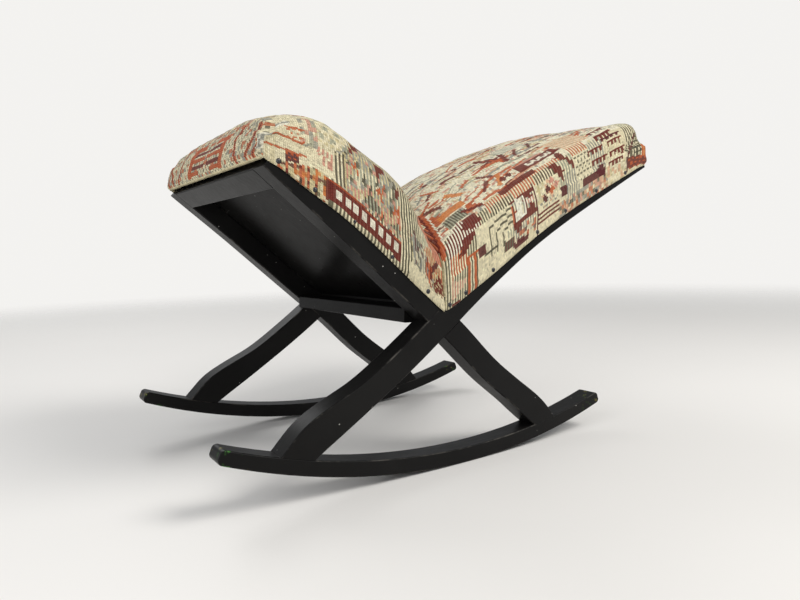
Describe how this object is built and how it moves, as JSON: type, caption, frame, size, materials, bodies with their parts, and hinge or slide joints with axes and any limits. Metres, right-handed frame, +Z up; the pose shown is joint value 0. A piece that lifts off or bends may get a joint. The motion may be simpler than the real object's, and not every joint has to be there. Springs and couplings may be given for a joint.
{
  "type": "rocking footstool",
  "caption": "Rocking footstool with S-curved crossed timber sides on curved rockers, carrying a long and a short stuffed rest that meet in a valley.",
  "frame": {"origin": "floor point under the middle of the bounding box, at rest", "axes": "+X along the rocking direction, from the short rest to the long rest; +Y across the stool towards its left side; +Z up"},
  "size_m": [0.6338, 0.3458, 0.4267],
  "materials": {
    "black_painted_timber": "hand-painted satin black timber with worn edges and white specks",
    "black_painted_board": "thin softwood board, painted satin black underneath",
    "dowel_wood": "bare beech dowel",
    "pin_steel": "plain steel pin",
    "fibre_stuffing": "packed curled fibre",
    "cotton_wadding": "soft cotton wadding",
    "woven_cover": "flat-woven wool in cream with rust, maroon, grey and sage geometric bands",
    "black_tack": "blued steel cut tack with a domed head"
  },
  "bodies": {
    "root": {"rocker_right": "black_painted_timber", "rocker_left": "black_painted_timber", "long_seat_support_right": "black_painted_timber", "long_seat_support_left": "black_painted_timber", "short_seat_support_right": "black_painted_timber", "short_seat_support_left": "black_painted_timber", "centre_stretcher": "black_painted_timber", "short_end_rail": "black_painted_timber", "long_end_rail": "black_painted_timber", "short_seat_board": "black_painted_board", "long_seat_board": "black_painted_board", "foot_dowels_right": "dowel_wood", "foot_dowels_left": "dowel_wood", "centre_stretcher_dowels": "dowel_wood", "short_end_rail_dowels": "dowel_wood", "long_end_rail_dowels": "dowel_wood", "crossing_pins_right": "pin_steel", "crossing_pins_left": "pin_steel", "short_seat_board_pins": "pin_steel", "long_seat_board_pins": "pin_steel", "short_pad_stuffing": "fibre_stuffing", "long_pad_stuffing": "fibre_stuffing", "short_pad_wadding": "cotton_wadding", "long_pad_wadding": "cotton_wadding", "short_cover": "woven_cover", "long_cover": "woven_cover", "short_cover_tacks_right": "black_tack", "short_cover_tacks_left": "black_tack", "long_cover_tacks_right": "black_tack", "long_cover_tacks_left": "black_tack", "short_end_tacks": "black_tack", "long_end_tacks": "black_tack"}
  },
  "joints": []
}
